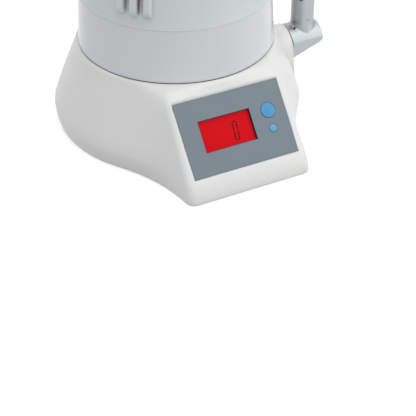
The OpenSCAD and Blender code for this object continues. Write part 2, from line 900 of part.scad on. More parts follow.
module control_chip() color("#1e2022") {
    chip = 9;
    chip_t = 1.4;
    on_face() translate([-chip / 2, -chip / 2, -board_depth - board_t - chip_t]) cube([chip, chip, chip_t]);
}

// Button with a domed top, a flange behind the wall and a plunger over its switch
module button(d) {
    r = d / 2;
    top = panel_proud + button_proud;
    flange_w = -face_wall_n - button_flange_gap;
    foot_w = flange_w - button_flange_t;
    plunger_w = -board_depth + switch_h + switch_dome_h + button_travel + plunger_gap;
    dome = button_proud / 2;
    translate([0, 0, plunger_w]) cylinder(h = flange_w - plunger_w, r = plunger_r);
    translate([0, 0, foot_w]) cylinder(h = button_flange_t, r = r + move_gap + button_flange);
    rotate_extrude() polygon(concat(
        [[0, foot_w], [r, foot_w]],
        [for (i = [0:arc_steps])
            let (a = 90 * i / arc_steps) [r - dome + dome * cos(a), top - 2 * dome + dome * sin(a)]],
        [[0, top - dome / 2]]
    ));
}

module display_button() color("#4e9cce") {
    on_face() translate([button_u, big_button_v, 0]) button(big_button_d);
}

module reset_button() color("#66adda") {
    on_face() translate([button_u, small_button_v, 0]) button(small_button_d);
}

module at_tabs() {
    for (y = [-1, 1]) translate([0, y * tab_spread / 2, 0]) children();
}

module battery_holder() color(dark_plastic) {
    at_battery() difference() {
        translate([0, 0, cell_z]) cylinder(h = holder_top - cell_z, r = holder_r);
        translate([0, 0, cell_z - cut]) cylinder(h = cell_t + contact_t + cut, r = cell_r + seat_gap);
        at_tabs() translate([0, 0, cell_z]) cylinder(h = holder_top, r = wire_r + seat_gap);
    }
}

// A split disc above the cell and two solder tabs that rise through the holder's roof
module battery_contacts() color(brass) {
    at_battery() translate([0, 0, cell_z + cell_t]) {
        difference() {
            cylinder(h = contact_t, r = contact_r);
            translate([-contact_r, -contact_split / 2, -cut])
                cube([2 * contact_r, contact_split, contact_t + 2 * cut]);
        }
        at_tabs() cylinder(h = contact_t + holder_roof + tab_h, r = wire_r);
    }
}

module coin_cell() color("#b9bdc0") {
    at_battery() translate([0, 0, cell_z]) cylinder(h = cell_t, r = cell_r);
}

// Cap with two bayonet lugs above the bottom plate and a coin slot below
module battery_cap() color("#d5d7d6") {
    slot_w = 2;
    slot_len = 16;
    slot_depth = 1.2;
    at_battery() difference() {
        union() {
            translate([0, 0, plate_z]) cylinder(h = cell_z - seat_gap - plate_z, r = cap_r);
            translate([0, 0, plate_top + seat_gap]) lugs(lug_h - seat_gap, cap_r + lug_reach, lug_angle);
        }
        translate([-slot_len / 2, -slot_w / 2, plate_z - cut]) cube([slot_len, slot_w, slot_depth + cut]);
    }
}

module battery_leads() color("#a32020") {
    tab_z = holder_top + tab_h;
    lead(concat([[battery_x, -tab_spread / 2, tab_z]], front_lead_route, into_board(front_lead_u, lead_v)));
    lead(concat([[battery_x, tab_spread / 2, tab_z]], back_lead_route, into_board(back_lead_u, lead_v)));
}

module filter_head() color(inner_plastic) {
    difference() {
        union() {
            translate([0, 0, manifold_z]) cylinder(h = base_h + cut - manifold_z, r = manifold_r);
            translate([0, 0, base_h]) cylinder(h = flange_t, r = neck_r);
            translate([0, 0, base_h]) cylinder(h = flange_t + spigot_h, r = spigot_r);
            for (i = [0:ridges - 1]) translate([0, 0, neck_z + first_ridge + i * ridge_pitch])
                ridge(spigot_r, ridge_h);
            rod_x(0, manifold_r + barb_len, barb_r, outlet_z);
            rod_y(0, manifold_r + inlet_barb_len, barb_r, inlet_z);
        }
        difference() {
            translate([0, 0, flange_top]) cylinder(h = spigot_h + cut, r = cup_r);
            translate([0, 0, flange_top - cut]) cylinder(h = boss_h + cut, r = boss_r);
        }
        // Cartridge socket, outlet channel and inlet riser
        translate([0, 0, boss_top - nipple_len - nipple_room])
            cylinder(h = nipple_len + nipple_room + cut, r = nipple_r + seat_gap);
        translate([0, 0, outlet_z]) cylinder(h = boss_top - outlet_z, r = channel_r);
        rod_x(0, manifold_r + barb_len + cut, channel_r, outlet_z);
        rod_y(riser_y, manifold_r + inlet_barb_len + cut, channel_r, inlet_z);
        translate([0, riser_y, inlet_z]) cylinder(h = flange_top + cut - inlet_z, r = channel_r);
        at_head_screws() translate([0, 0, base_h - cut])
            cylinder(h = head_screw_len - shoulder_h + 2 * cut, r = screw_r + seat_gap / 2);
    }
}

// One turn of a thread, drawn as a closed ridge that stands out from a radius, or in with h below zero
module ridge(r, h) {
    half = abs(h);
    root = r - sign(h);
    rotate_extrude() polygon([
        [root, -half], [r, -half], [r + h, -half / 3], [r + h, half / 3], [r, half], [root, half]
    ]);
}

module head_screws() color(steel) {
    at_head_screws() translate([0, 0, shoulder_z]) screw(head_screw_len);
}

module cartridge_core() color("#202224") {
    translate([0, 0, core_z]) tube(core_r, core_bore_r, core_len);
}

module cartridge_sleeve() color("#eef0ee") {
    translate([0, 0, core_z]) tube(sleeve_r, core_r + seat_gap, core_len);
}

module cartridge_top_cap() color("#dfe6ea") {
    translate([0, 0, core_z + core_len]) rotate_extrude() polygon([
        [0, 0], [sleeve_r, 0], [sleeve_r, -cap_t], [end_cap_r, -cap_t],
        [end_cap_r, cap_t - cap_chamfer], [end_cap_r - cap_chamfer, cap_t], [0, cap_t]
    ]);
}

module cartridge_bottom_cap() color("#dfe6ea") {
    translate([0, 0, boss_top]) difference() {
        rotate_extrude() polygon([
            [nipple_bore_r, -nipple_len], [nipple_r, -nipple_len], [nipple_r, 0],
            [end_cap_r - cap_chamfer, 0], [end_cap_r, cap_chamfer], [end_cap_r, 2 * cap_t],
            [sleeve_r, 2 * cap_t], [sleeve_r, cap_t], [nipple_bore_r, cap_t]
        ]);
        at_nipple_seals() rotate_extrude() translate([nipple_r - seal_groove, -seal_groove / 2])
            square([seal_groove + cut, seal_groove]);
    }
}

module at_nipple_seals() {
    for (place = seal_places)
        translate([0, 0, -place * nipple_len]) children();
}

module cartridge_seals() color(rubber) {
    translate([0, 0, boss_top]) at_nipple_seals()
        ring(nipple_r - seal_groove / 2, seal_groove / 2);
}

module canister_seal() color(rubber) {
    translate([0, 0, flange_top + seat_gap]) tube(neck_r - seat_gap, neck_bore_r + seat_gap, seal_t);
}

// Outer radius of the canister below and above the parting line
function skirt_out(z) =
    let (u = (z - skirt_z) / (parting_z - skirt_z)) mix(skirt_r, parting_r, u + skirt_bow * u * (1 - u));
function dome_out(z) =
    dome_r + dome_flare * exp(-(z - parting_z - dome_edge_h) / dome_flare_h);

module canister_skirt() color(grey_plastic) {
    lip_r = neck_r + seat_gap;
    lip_z = parting_z - skirt_lip_h;
    zs = [for (i = [0:skirt_steps]) mix(skirt_z, parting_z, i / skirt_steps)];
    rotate_extrude($fn = shell_sides) polygon(concat(
        [for (z = zs) [skirt_out(z), z]],
        [[lip_r, parting_z], [lip_r, lip_z], [skirt_out(lip_z) - skirt_wall, lip_z]],
        [for (i = [skirt_steps - 1:-1:0]) [skirt_out(zs[i]) - skirt_wall, zs[i]]]
    ));
}

// Outline of the dome's outside or inside, from its lower edge to the axis
function dome_line(z0, inset) =
    let (
        top = canister_top - dome_crown,
        corner_z = top - dome_corner_r,
        c = max(dome_corner_r - inset, 1),
        r = dome_out(corner_z) - inset - c
    )
    concat(
        [for (i = [0:dome_steps]) let (z = mix(z0, corner_z, i / dome_steps)) [dome_out(z) - inset, z]],
        [for (i = [1:arc_steps])
            let (a = 90 * i / arc_steps) [r + c * cos(a), top - inset - c + c * sin(a)]],
        [[0, canister_top - inset]]
    );

module canister_dome() color(grey_plastic) {
    inside = dome_line(neck_top_z + neck_blend, dome_wall);
    rotate_extrude($fn = shell_sides) polygon(concat(
        [[neck_bore_r, neck_z], [neck_r, neck_z], [neck_r, dome_start_z]],
        [[parting_r + dome_overhang, dome_start_z]],
        dome_line(parting_z + dome_edge_h, 0),
        [for (i = [len(inside) - 1:-1:0]) inside[i]],
        [[neck_bore_r, neck_top_z]]
    ));
    // Thread ridges inside the neck, clear of the spigot's own
    for (i = [0:ridges - 1])
        translate([0, 0, neck_z + first_ridge + (i + 0.5) * ridge_pitch]) ridge(neck_bore_r, -ridge_h);
    for (g = [0:rib_groups - 1], i = [0:ribs_per_group - 1])
        rotate([0, 0, -90 + rib_turn + 360 * g / rib_groups])
            grip_rib((i - (ribs_per_group - 1) / 2) * rib_pitch);
}

// Upright rib that follows the dome's surface, at a distance round it, with sloped ends
module grip_rib(offset) {
    mid_r = dome_out(rib_z + rib_len / 2);
    angle = rib_w / mid_r * 180 / PI;
    rib_top = rib_z + rib_len;
    crest = [for (i = [0:rib_steps]) mix(rib_z + rib_fade, rib_top - rib_fade, i / rib_steps)];
    rotate([0, 0, offset / mid_r * 180 / PI - angle / 2]) rotate_extrude(angle = angle)
        polygon(concat(
            [[dome_out(rib_z) - dome_wall / 2, rib_z], [dome_out(rib_z) + seat_gap, rib_z]],
            [for (z = crest) [dome_out(z) + rib_h, z]],
            [[dome_out(rib_top) + seat_gap, rib_top], [dome_out(rib_top) - dome_wall / 2, rib_top]],
            [for (i = [rib_steps:-1:0]) [dome_out(crest[i]) - dome_wall / 2, crest[i]]]
        ));
}

module inlet_fitting() color("#2b2e31") {
    difference() {
        union() {
            rod_y(meter_back_y, mouth_y - collet_proud, fitting_r, inlet_z);
            rod_y(meter_back_y - spigot_len, meter_back_y + cut, barb_r + spigot_step, inlet_z);
            rod_y(fitting_flange_y - fitting_flange_t, fitting_flange_y, fitting_r + fitting_flange, inlet_z);
        }
        rod_y(chamber_end_y, mouth_y + cut, collet_r + seat_gap, inlet_z);
        rod_y(seat_end_y, mouth_y, inlet_bore_r, inlet_z);
        rod_y(meter_back_y - spigot_len - cut, seat_end_y + cut, channel_r, inlet_z);
    }
}

module inlet_collet() color(inner_plastic) {
    foot_y = mouth_y - collet_proud - collet_len;
    difference() {
        union() {
            rod_y(foot_y, mouth_y, collet_r - collet_rim, inlet_z);
            rod_y(foot_y, foot_y + collet_foot, collet_r, inlet_z);
        }
        rod_y(chamber_end_y, mouth_y + cut, inlet_bore_r, inlet_z);
    }
}

module inlet_seal() color(rubber) {
    difference() {
        rod_y(chamber_end_y, chamber_end_y + inlet_seal_t, collet_r, inlet_z);
        rod_y(chamber_end_y - cut, mouth_y, inlet_bore_r, inlet_z);
    }
}

module meter_holes(y0, y1) {
    for (a = [0:120:240])
        translate([hole_ring_r * sin(a), 0, hole_ring_r * cos(a)]) rod_y(y0, y1, hole_r, inlet_z);
}

module flow_meter_body() color(inner_plastic) {
    chamber_y = meter_front_y + meter_wall;
    chamber_back = chamber_y + chamber_len;
    difference() {
        union() {
            rod_y(meter_front_y, meter_back_y, meter_r, inlet_z);
            translate([-sensor_pad / 2, chamber_y, inlet_z])
                cube([sensor_pad, chamber_len, meter_r + sensor_pad_h]);
        }
        rod_y(meter_front_y - cut, chamber_back, chamber_r, inlet_z);
        rod_y(chamber_back + meter_wall, meter_back_y + cut, barb_r + spigot_step + seat_gap, inlet_z);
        meter_holes(chamber_back - cut, chamber_back + meter_wall + cut);
        rod_y(chamber_back - cut, chamber_back + axle_seat, axle_r + run_gap, inlet_z);
    }
}

// Cap with a hose barb, whose web carries the front end of the axle
module flow_meter_cap() color(inner_plastic) {
    flange_y = meter_front_y - cap_flange_t;
    web_y = meter_front_y + meter_wall;
    difference() {
        union() {
            rod_y(flange_y, meter_front_y, meter_r, inlet_z);
            rod_y(meter_front_y - cut, web_y, chamber_r - seat_gap, inlet_z);
            rod_y(flange_y - inlet_barb_len, meter_front_y, barb_r, inlet_z);
        }
        rod_y(flange_y - inlet_barb_len - cut, meter_front_y - cut, channel_r, inlet_z);
        rod_y(flange_y + cap_face_t, meter_front_y - cap_web, cap_hollow_r, inlet_z);
        meter_holes(meter_front_y - cut, web_y + cut);
        rod_y(web_y - axle_seat, web_y + cut, axle_r + run_gap, inlet_z);
    }
}

module turbine_axle() color(steel) {
    axle_y = meter_front_y + meter_wall - axle_seat + seat_gap;
    rod_y(axle_y, axle_y + chamber_len + 2 * axle_seat - 2 * seat_gap, axle_r, inlet_z);
}

module flow_turbine() color("#f1f1ec") {
    y0 = meter_front_y + meter_wall + move_gap;
    y1 = y0 + chamber_len - 2 * move_gap;
    blade_len = (y1 - y0) * 0.8;
    blade_t = 0.8;
    pitch = 25;
    difference() {
        union() {
            rod_y(y0, y1, hub_r, inlet_z);
            translate([0, (y0 + y1) / 2, inlet_z]) for (i = [0:blades - 1])
                rotate([0, 360 * i / blades, 0]) intersection() {
                    rotate([0, 0, pitch]) translate([-blade_t / 2, -blade_len / 2, 0])
                        cube([blade_t, blade_len, turbine_r + cut]);
                    rotate([90, 0, 0]) cylinder(h = 2 * chamber_len, r = turbine_r, center = true);
                }
        }
        rod_y(y0 - cut, y1 + cut, axle_r + run_gap, inlet_z);
    }
}

module flow_sensor() color(dark_plastic) {
    translate([-sensor_w / 2, meter_front_y + meter_wall + sensor_set, sensor_z])
        cube([sensor_w, sensor_w, sensor_t]);
}

module sensor_lead() color("#3f5f86") {
    sensor_mid = [0, meter_front_y + meter_wall + sensor_set + sensor_w / 2, sensor_z + sensor_t];
    lead(concat([sensor_mid], sensor_lead_route, into_board(sensor_lead_u, sensor_lead_v)));
}

module inlet_hose() color(clear_hose) {
    difference() {
        rod_y(manifold_r + hose_set, meter_front_y - cap_flange_t - seat_gap, barb_r + hose_wall, inlet_z);
        rod_y(manifold_r, meter_front_y, barb_r + seat_gap / 2, inlet_z);
    }
}

module outlet_hose() color(clear_hose) {
    difference() {
        rod_x(manifold_r + hose_set, shank_end_x - seat_gap, barb_r + hose_wall, outlet_z);
        rod_x(manifold_r, shank_end_x + cut, barb_r + seat_gap / 2, outlet_z);
    }
}

// Band round a hose, with its lower face at the origin
module clamp() {
    inner = barb_r + hose_wall + seat_gap / 2;
    tube(inner + clamp_t, inner, clamp_w);
}

module hose_clamps() color(steel) {
    for (x = [manifold_r + clamp_set, shank_end_x - clamp_set - clamp_w])
        translate([x, 0, outlet_z]) rotate([0, 90, 0]) clamp();
    for (y = [manifold_r + clamp_set, meter_front_y - cap_flange_t - clamp_set - clamp_w])
        translate([0, y, inlet_z]) rotate([-90, 0, 0]) clamp();
}

// Block with a round top and flat sides, whose underside rises to a rounded end
module block_body() {
    end_x = block_x + block_len;
    end_z = block_low_z + block_len * tan(block_rise);
    bend = 90 - block_rise;
    round_z = end_z + block_corner * tan(bend / 2);
    corner_steps = 6;
    intersection() {
        rod_x(block_x, end_x, block_r, arch_z);
        rotate([90, 0, 0]) linear_extrude(2 * block_side, center = true) polygon(concat(
            [[block_x - cut, base_h], [block_x - cut, block_low_z - cut * tan(block_rise)]],
            [for (i = [0:corner_steps]) let (a = bend * (i / corner_steps - 1))
                [end_x + block_corner * (cos(a) - 1), round_z + block_corner * sin(a)]],
            [[end_x, base_h]]
        ));
    }
}

// Swivel socket that rises out of the block's round top on a flared root
module socket() {
    flare_z = arch_z + block_r / 2;
    rotate_extrude() polygon([
        [0, flare_z], [socket_r + socket_flare, flare_z], [socket_r, arch_z + block_r + flare_rise],
        [socket_r, socket_top - socket_edge], [socket_r - socket_edge, socket_top], [0, socket_top]
    ]);
}

module spout_block() color(chrome) {
    difference() {
        union() {
            block_body();
            translate([swivel_x, 0, 0]) socket();
            // Index bead on the front of the socket
            translate([swivel_x, -socket_r - bead_h, socket_top - bead_drop]) rotate([-90, 0, 0])
                cylinder(h = bead_h + socket_wall / 2, r1 = bead_r / 2, r2 = bead_r);
            rod_x(shank_end_x, block_x + cut, shank_r, outlet_z);
            rod_x(shank_barb_x, block_x, barb_r, outlet_z);
        }
        rod_x(shank_barb_x - cut, swivel_x, channel_r, outlet_z);
        translate([swivel_x, 0, outlet_z]) cylinder(h = socket_top, r = channel_r);
        translate([swivel_x, 0, socket_floor]) cylinder(h = socket_top, r = socket_bore_r);
        at_socket_screw() cylinder(h = 2 * socket_r, r = socket_screw_r + seat_gap / 2);
        at_vent() cylinder(h = 2 * vent_depth, r = vent_r);
    }
}

// Frame of the blind hole in the block's round top, between gasket and socket
module at_vent() {
    translate([block_x + vent_inset, 0, arch_z]) rotate([vent_turn, 0, 0])
        translate([0, 0, block_r - vent_depth]) children();
}

// Frame of the screw that keeps the spout in its socket, pointing out from the axis
module at_socket_screw() {
    translate([swivel_x, 0, groove_z]) rotate([0, 0, socket_screw_turn]) rotate([0, 90, 0]) children();
}

module socket_screw() color(rubber) {
    tip = groove_r + seat_gap + run_gap;
    head = socket_r - socket_screw_sunk;
    hex_r = socket_screw_r * 0.6;
    hex_depth = 1;
    at_socket_screw() difference() {
        translate([0, 0, tip]) cylinder(h = head - tip, r = socket_screw_r);
        translate([0, 0, head - hex_depth]) cylinder(h = hex_depth + cut, r = hex_r, $fn = 6);
    }
}

module spout_gasket() color("#6a6e70") {
    difference() {
        intersection() {
            rod_x(collar_x, block_x, block_r, arch_z);
            translate([collar_x - cut, -block_side, block_low_z])
                cube([gasket_t + 2 * cut, 2 * block_side, base_h]);
        }
        rod_x(collar_x - cut, block_x + cut, shank_r + seat_gap, outlet_z);
    }
}

module block_nut() color(brass) {
    nut_x = collar_x - wall - nut_t;
    difference() {
        translate([nut_x, 0, outlet_z]) rotate([0, 90, 0]) cylinder(h = nut_t, r = nut_r, $fn = 6);
        rod_x(nut_x - cut, collar_x, shank_r + seat_gap / 2, outlet_z);
    }
}

module at_o_rings() {
    for (row = o_ring_rows)
        translate([0, 0, ferrule_z + row]) children();
}

// Plug in the spout's foot that turns in the socket and carries the seals
module spout_ferrule() color(brass) {
    translate([swivel_x, 0, 0]) difference() {
        union() {
            translate([0, 0, ferrule_z]) cylinder(h = ferrule_top - ferrule_z, r = tube_r);
            translate([0, 0, ferrule_z])
                cylinder(h = ferrule_top + ferrule_spigot - ferrule_z, r = tube_r - tube_wall - run_gap);
        }
        translate([0, 0, ferrule_z - cut]) cylinder(h = ferrule_top + ferrule_spigot, r = ferrule_bore_r);
        at_o_rings() translate([0, 0, -o_ring_r]) tube(tube_r + cut, tube_r - 2 * o_ring_r, 2 * o_ring_r);
        translate([0, 0, groove_z - groove_w / 2]) tube(tube_r + cut, groove_r, groove_w);
    }
}

module spout_o_rings() color(rubber) {
    translate([swivel_x, 0, 0]) at_o_rings() ring(tube_r - o_ring_r, o_ring_r - o_ring_room);
}

// Frame at the end of the bend, with +Z along the tail towards the mouth
module at_tail() {
    translate([bend_x + bend_r * cos(tail_turn), 0, bend_z + bend_r * sin(tail_turn)])
        rotate([0, 180 - tail_turn, 0]) children();
}

// Rod along the spout, with its ends moved outwards. Drawing the bend thins it a little,
// and the straights run that much wider into it.
module spout_path(r, ends) {
    thinning = 0.04;
    lap = 0.5;
    translate([swivel_x, 0, ferrule_top - ends]) cylinder(h = bend_z + lap + ends - ferrule_top, r = r);
    translate([bend_x, 0, bend_z]) rotate([90, 0, 0]) rotate([0, 0, tail_turn])
        rotate_extrude(angle = bend_angle) translate([bend_r, 0]) circle(r - thinning);
    at_tail() translate([0, 0, -lap]) cylinder(h = tail_len + lap + ends, r = r);
}

module spout_tube() color(chrome) {
    difference() {
        spout_path(tube_r, 0);
        spout_path(tube_r - tube_wall, cut);
    }
}

// Nozzle with a nut over the tube's end, a narrow waist and a tapering barrel
module aerator_body() color(chrome) {
    bore_r = tube_r + seat_gap;
    inner_r = aerator_r - aerator_wall;
    nut_r = aerator_r - 0.6;
    waist = aerator_r - 1.4;
    waist_w = 1.2;
    bevel = 0.8;
    shelf_z = nut_len + 1;
    lip_r = aerator_mouth_r - 1.6;
    lip_z = aerator_len - aerator_lip_t;
    at_tail() translate([0, 0, tail_len - nut_len]) rotate_extrude() polygon([
        [bore_r, 0], [waist, 0], [nut_r, bevel], [nut_r, nut_len - bevel], [waist, nut_len],
        [waist, nut_len + waist_w], [aerator_r, nut_len + waist_w + bevel], [aerator_mouth_r, aerator_len],
        [lip_r, aerator_len], [lip_r, lip_z], [inner_r, lip_z], [inner_r, shelf_z], [bore_r, shelf_z]
    ]);
}

// Plug with a ring of jets that sits on the aerator's lip
module aerator_insert() color("#e6e8e6") {
    insert_r = aerator_r - aerator_wall - seat_gap;
    insert_h = 12;
    jet_r = 1.1;
    jet_ring_r = 3.4;
    at_tail() translate([0, 0, tail_len - nut_len + aerator_len - aerator_lip_t - insert_h]) difference() {
        cylinder(h = insert_h - seat_gap, r = insert_r);
        for (a = [0:60:300]) rotate([0, 0, a]) translate([jet_ring_r, 0, -cut])
            cylinder(h = insert_h + 2 * cut, r = jet_r);
        translate([0, 0, -cut]) cylinder(h = insert_h + 2 * cut, r = jet_r);
    }
}

module aerator_washer() color(rubber) {
    washer_t = 2;
    shelf = 1;
    at_tail() translate([0, 0, tail_len + shelf + seat_gap])
        tube(aerator_r - aerator_wall - seat_gap, tube_r - tube_wall, washer_t);
}

base_shell();
base_plate();
rubber_feet();
base_screws();
fascia_panel();
display_panel();
display_carrier();
circuit_board();
board_screws();
tact_switches();
control_chip();
display_button();
reset_button();
battery_holder();
battery_contacts();
coin_cell();
battery_cap();
battery_leads();
filter_head();
head_screws();
cartridge_core();
cartridge_sleeve();
cartridge_top_cap();
cartridge_bottom_cap();
cartridge_seals();
canister_seal();
canister_skirt();
canister_dome();
inlet_fitting();
inlet_collet();
inlet_seal();
flow_meter_body();
flow_meter_cap();
turbine_axle();
flow_turbine();
flow_sensor();
sensor_lead();
inlet_hose();
outlet_hose();
hose_clamps();
spout_block();
spout_gasket();
block_nut();
socket_screw();
spout_ferrule();
spout_o_rings();
spout_tube();
aerator_body();
aerator_insert();
aerator_washer();
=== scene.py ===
from math import atan2, cos, exp, hypot, pi, radians, sin, sqrt

import bpy
from mathutils import Matrix, Vector


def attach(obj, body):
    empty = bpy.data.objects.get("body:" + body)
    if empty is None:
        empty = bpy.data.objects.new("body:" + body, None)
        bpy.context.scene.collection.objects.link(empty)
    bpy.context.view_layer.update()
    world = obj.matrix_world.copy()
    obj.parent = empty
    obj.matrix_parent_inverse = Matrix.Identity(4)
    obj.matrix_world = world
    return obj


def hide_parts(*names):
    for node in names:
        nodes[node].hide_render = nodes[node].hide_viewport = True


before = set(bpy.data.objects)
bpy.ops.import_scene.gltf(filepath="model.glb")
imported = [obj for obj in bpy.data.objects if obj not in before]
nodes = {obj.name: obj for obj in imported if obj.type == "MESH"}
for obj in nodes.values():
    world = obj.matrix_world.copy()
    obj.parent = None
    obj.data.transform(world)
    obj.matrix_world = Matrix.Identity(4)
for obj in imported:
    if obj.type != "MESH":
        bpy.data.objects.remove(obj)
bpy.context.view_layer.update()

scene = bpy.context.scene
scene.view_settings.view_transform = "Standard"


# ---------------------------------------------------------------- studio
# A white sweep in a pale room, under a wide overhead softbox and a weaker one
# at the right front, so the right of each form is lighter than its left.
eye = Vector((-0.25101, -0.54076, 0.37707))
aim = Vector((-0.00536, -0.0524, -0.04074))
lens_mm, sensor_mm = 98.3, 36
nearest, farthest = 0.02, 20
fill_strength, white_strength, card_glow = 0.72, 1.0, 0.655
sweep_size = 6
lit_point = Vector((0, 0, 0.06))
# Place, width and height, and power in watts of each softbox
softboxes = (((0.15, -0.3, 1.25), (1.4, 1.4), 8.0),
             ((1.05, -0.85, 0.55), (0.8, 0.9), 3.2))


def towards(place, target):
    """The turn that points a camera or a lamp at a target."""
    return (target - place).to_track_quat("-Z", "Y").to_euler()


def linear(shade):
    """An sRGB hex shade as a linear colour."""
    parts = [int(shade[i:i + 2], 16) / 255 for i in (1, 3, 5)]
    return (*[p / 12.92 if p <= 0.04045 else ((p + 0.055) / 1.055) ** 2.4 for p in parts], 1)


def add_node(tree, kind, sockets=None, **settings):
    """A new shader node; a socket's value is linked if it is a socket itself."""
    node = tree.nodes.new("ShaderNode" + kind)
    for name, value in settings.items():
        setattr(node, name, value)
    for name, value in (sockets or {}).items():
        if isinstance(value, bpy.types.NodeSocket):
            tree.links.new(value, node.inputs[name])
        else:
            node.inputs[name].default_value = value
    return node


def background_rays(tree):
    """One for the rays of the camera, and of what mirrors or lets through the background."""
    rays = add_node(tree, "LightPath").outputs
    any_of = rays["Is Camera Ray"]
    for kind in ("Is Transmission Ray", "Is Glossy Ray"):
        any_of = add_node(tree, "Math", {0: any_of, 1: rays[kind]}, operation="MAXIMUM").outputs[0]
    return any_of


def cleared(owner):
    """The emptied node tree of a world or a material."""
    owner.use_nodes = True
    owner.node_tree.nodes.clear()
    return owner.node_tree


bpy.ops.object.camera_add(location=eye, rotation=towards(eye, aim))
camera = bpy.context.object
camera.data.lens, camera.data.sensor_width = lens_mm, sensor_mm
camera.data.clip_start, camera.data.clip_end = nearest, farthest
scene.camera = camera

# The camera, metal and clear pieces see plain white, and only the even grey
# fill lights the object.
room = bpy.data.worlds.new("white_room")
scene.world = room
tree = cleared(room)
fill = add_node(tree, "Background", {"Color": linear("#F7F8F9"), "Strength": fill_strength})
white = add_node(tree, "Background", {"Color": (1, 1, 1, 1), "Strength": white_strength})
shown = add_node(tree, "MixShader", {0: background_rays(tree), 1: fill.outputs[0],
                                     2: white.outputs[0]})
add_node(tree, "OutputWorld", {"Surface": shown.outputs[0]})

# The sweep is matt white card. Part of its white is its own for the eye, so
# that it stays paper white and still keeps the soft shadow of the object.
bpy.ops.mesh.primitive_plane_add(size=sweep_size, location=(0, 0, 0))
sweep = bpy.context.object
sweep.name = "sweep"
card = bpy.data.materials.new("white_card")
tree = cleared(card)
matt = add_node(tree, "BsdfDiffuse", {"Color": linear("#BEBEBE")})
glow = add_node(tree, "Emission", {"Color": (1, 1, 1, 1), "Strength": card_glow})
both = add_node(tree, "AddShader", {0: matt.outputs[0], 1: glow.outputs[0]})
shown = add_node(tree, "MixShader", {0: background_rays(tree), 1: matt.outputs[0],
                                     2: both.outputs[0]})
add_node(tree, "OutputMaterial", {"Surface": shown.outputs[0]})
sweep.data.materials.append(card)

for place, extent, power in softboxes:
    bpy.ops.object.light_add(type="AREA", location=place)
    softbox = bpy.context.object
    softbox.rotation_euler = towards(Vector(place), lit_point)
    softbox.data.shape = "RECTANGLE"
    softbox.data.size, softbox.data.size_y = extent
    softbox.data.energy = power


# ---------------------------------------------------------------- base shell
# The base is one injection moulding in white ABS: a round body that tucks in
# to the canister, a wedge in front for the panel and a collar for the spout.
def principled(name):
    """A new material, with its tree, its shader and the coordinates of its piece."""
    material = bpy.data.materials.new(name)
    material.use_nodes = True
    tree = material.node_tree
    place = add_node(tree, "TexCoord").outputs["Object"]
    return material, tree, tree.nodes["Principled BSDF"], place


def noise(tree, place, size_mm, octaves):
    """Noise with features of about the given size."""
    return add_node(tree, "TexNoise", {"Vector": place, "Scale": 1000 / size_mm,
                                       "Detail": octaves}).outputs["Fac"]


def mixed(tree, pattern, first, second):
    """Two colours, mixed by a pattern."""
    return add_node(tree, "Mix", {"Factor": pattern, 6: first, 7: second},
                    data_type="RGBA").outputs[2]


def clouded(tree, place, shade, size_mm, depth):
    """A shade that drifts to a deeper one and back."""
    light = linear(shade)
    deep = [c * depth for c in light[:3]] + [1]
    return mixed(tree, noise(tree, place, size_mm, octaves=3), light, deep)


def varied(tree, pattern, middle, share):
    """A value that follows a pattern, by a share to either side of its middle."""
    return add_node(tree, "MapRange", {"Value": pattern, "To Min": middle * (1 - share),
                                       "To Max": middle * (1 + share)}).outputs["Result"]


def relief(tree, pattern, strength, depth, edge_mm):
    """The normal of fine relief on a form whose sharp edges are rounded."""
    soft = add_node(tree, "Bevel", {"Radius": edge_mm / 1000}, samples=6)
    return add_node(tree, "Bump", {"Strength": strength, "Distance": depth, "Height": pattern,
                                   "Normal": soft.outputs[0]}).outputs[0]


def moulded(name, shade, roughness, grain_mm, edge_mm=0.4, bump=0.06):
    """Moulded plastic: an even tint with a trace of flow clouding, the fine grain of a
    spark-eroded tool, and edges as round as a mould leaves them."""
    cloud_mm, cloud_depth = 45, 0.95
    handled_mm, handled_share = 12, 0.12
    grain_depth, plastic_ior = 0.0002, 1.52
    material, tree, shader, place = principled(name)
    tint = clouded(tree, place, shade, cloud_mm, cloud_depth)
    gloss = varied(tree, noise(tree, place, handled_mm, octaves=4), roughness, handled_share)
    grain = noise(tree, place, grain_mm, octaves=2)
    tree.links.new(tint, shader.inputs["Base Color"])
    tree.links.new(gloss, shader.inputs["Roughness"])
    tree.links.new(relief(tree, grain, bump, grain_depth, edge_mm), shader.inputs["Normal"])
    shader.inputs["IOR"].default_value = plastic_ior
    return material


def smooth_copy(node, name, angle, finish, body):
    """A merged copy of a solid, on which light runs smoothly over the small facets."""
    weld = 0.00002
    bpy.ops.object.select_all(action="DESELECT")
    piece = nodes[node].copy()
    piece.data = piece.data.copy()
    piece.name = piece.data.name = name
    for key in list(piece.keys()):
        del piece[key]
    piece.parent = None
    scene.collection.objects.link(piece)
    bpy.context.view_layer.objects.active = piece
    piece.select_set(True)
    bpy.ops.object.mode_set(mode="EDIT")
    bpy.ops.mesh.select_all(action="SELECT")
    bpy.ops.mesh.remove_doubles(threshold=weld)
    bpy.ops.object.mode_set(mode="OBJECT")
    bpy.ops.object.shade_smooth_by_angle(angle=radians(angle))
    piece.data.materials.clear()
    piece.data.materials.append(finish)
    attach(piece, body)
    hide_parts(node)
    return piece


def finish_nodes(material, *names):
    """Gives CAD nodes a material."""
    for name in names:
        nodes[name].data.materials.clear()
        nodes[name].data.materials.append(material)


# The grain is about 0.1 mm and is drawn at 0.5 mm, which is as fine as shows.
white_abs = moulded("white_moulded_ABS", "#E4E4E2", roughness=0.36, grain_mm=0.5, edge_mm=1.2)
smooth_copy("base_shell", "base_moulding", angle=26, finish=white_abs, body="base")


